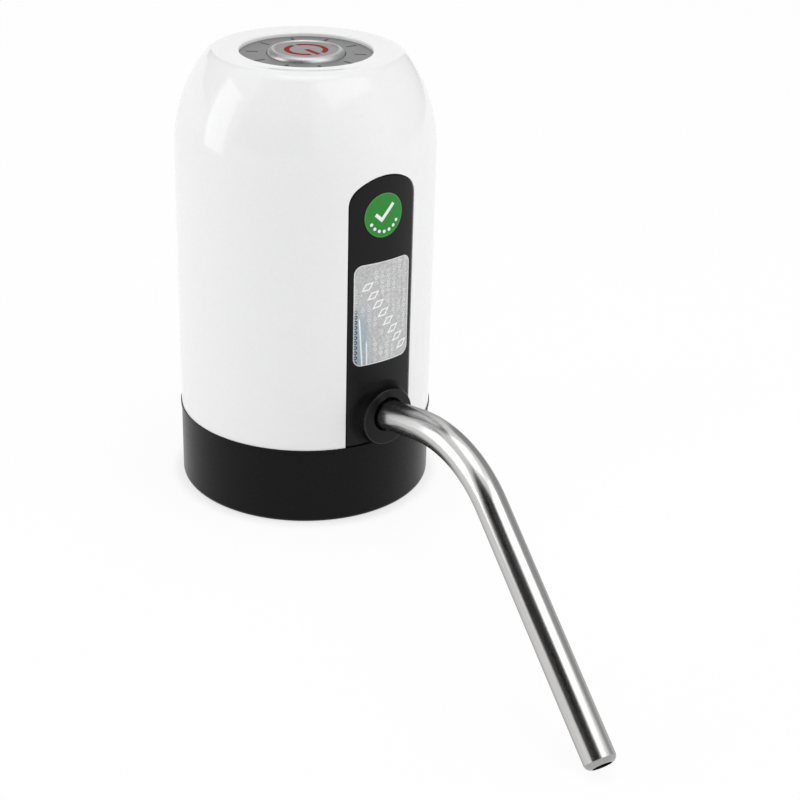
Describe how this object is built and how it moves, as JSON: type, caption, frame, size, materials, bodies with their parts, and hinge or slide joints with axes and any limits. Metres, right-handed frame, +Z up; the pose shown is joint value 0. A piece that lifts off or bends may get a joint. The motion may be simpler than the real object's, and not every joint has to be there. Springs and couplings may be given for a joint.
{
  "type": "electric water jug pump",
  "caption": "Round battery pump that plugs onto a water jug's neck: white domed body, black base and front strip, bent steel spout that swivels, and a push button on top.",
  "frame": {"origin": "centre of the jug neck socket at the base's foot", "axes": "+Z up along the body's axis, -Y towards the outlet and spout, +X to the right seen from the front"},
  "size_m": [0.0754, 0.185, 0.1557],
  "materials": {
    "shell_white": "smooth glossy white",
    "base_black": "satin black",
    "spout_steel": "polished stainless",
    "dial_grey": "brushed grey",
    "button_silver": "silver, polished bevel",
    "icon_red": "red",
    "guide_grey": "smoked clear",
    "seal_rubber": "soft black",
    "valve_rubber": "red rubber",
    "sticker_green": "gloss printed",
    "label_foil": "silver foil",
    "screw_steel": "zinc plated",
    "board_green": "solder mask",
    "chip_black": "moulded",
    "socket_ivory": "moulded",
    "led_clear": "clear",
    "frame_plastic": "moulded",
    "cell_steel": "nickel plated",
    "sleeve_green": "shrink film",
    "nickel": "nickel strip",
    "pump_plastic": "moulded",
    "drive_plastic": "moulded",
    "motor_steel": "zinc plated",
    "magnet_grey": "ferrite",
    "core_steel": "laminated",
    "copper": "copper",
    "bronze": "sintered",
    "carbon": "carbon",
    "hose_clear": "translucent silicone",
    "lead_jacket": "soft jacket"
  },
  "bodies": {
    "housing": {"outer_shell": "shell_white", "front_panel": "base_black", "base_collar": "base_black", "bottom_plate": "base_black", "neck_seal": "seal_rubber", "neck_gasket": "seal_rubber", "base_screws": "screw_steel", "dial_panel": "dial_grey", "light_guide": "guide_grey", "switch_body": "chip_black", "control_board": "board_green", "indicator_leds": "led_clear", "board_chips": "chip_black", "lead_sockets": "socket_ivory", "board_screws": "screw_steel", "inner_frame": "frame_plastic", "frame_screws": "screw_steel", "battery_cell": "cell_steel", "battery_sleeve": "sleeve_green", "battery_tabs": "nickel", "charging_board": "board_green", "charging_socket": "nickel", "charging_tongue": "chip_black", "charging_screws": "screw_steel", "pump_cover": "pump_plastic", "valve_plate": "pump_plastic", "inlet_valves": "valve_rubber", "outlet_valve": "valve_rubber", "diaphragm": "seal_rubber", "pump_body": "pump_plastic", "pump_screws": "screw_steel", "pump_mount_screws": "screw_steel", "motor_can": "motor_steel", "motor_magnets": "magnet_grey", "motor_bushes": "bronze", "motor_brushes": "carbon", "motor_end_cap": "pump_plastic", "motor_terminals": "bronze", "motor_screws": "screw_steel", "inlet_hose": "hose_clear", "outlet_hose": "hose_clear", "motor_leads": "lead_jacket", "battery_leads": "lead_jacket", "charge_leads": "lead_jacket", "round_sticker": "sticker_green", "foil_label": "label_foil"},
    "button": {"power_button": "button_silver", "power_icon": "icon_red"},
    "plunger": {"switch_plunger": "chip_black"},
    "spout_holder": {"spout_bush": "seal_rubber"},
    "spout": {"spout_tube": "spout_steel"},
    "rotor": {"motor_shaft": "screw_steel", "armature_core": "core_steel", "armature_windings": "copper", "commutator": "copper", "crank": "pump_plastic", "crank_pin": "screw_steel"},
    "drive": {"drive_plate": "drive_plastic"}
  },
  "joints": [
    {"name": "button_press", "type": "slide", "parent": "housing", "child": "button", "axis": [0, 0, -1], "range_m": [0, 0.0008], "stiffness_N_per_m": 1500, "springref_m": -0.0006},
    {"name": "plunger_press", "type": "slide", "parent": "housing", "child": "plunger", "axis": [0, 0, -1], "range_m": [0, 0.0008]},
    {"name": "spout_swivel", "type": "hinge", "parent": "housing", "child": "spout_holder", "pos_m": [0, -0.0375, 0.0329], "axis": [0, -0.9874, 0.1582], "continuous": true},
    {"name": "spout_pull", "type": "slide", "parent": "spout_holder", "child": "spout", "axis": [0, -0.9874, 0.1582], "range_m": [0, 0.03]},
    {"name": "rotor_spin", "type": "hinge", "parent": "housing", "child": "rotor", "pos_m": [-0.00779, -0.0045, 0.086], "axis": [0, 0, 1], "continuous": true, "deforming": ["diaphragm"]},
    {"name": "drive_rock", "type": "hinge", "parent": "rotor", "child": "drive", "pos_m": [-0.00779, -0.0045, 0.0635], "axis": [-0.0905, -0.0523, 0.9945], "continuous": true}
  ],
  "couplings": [
    {"joint": "plunger_press", "follows": "button_press", "ratio": 1},
    {"joint": "drive_rock", "follows": "rotor_spin", "ratio": -1}
  ]
}
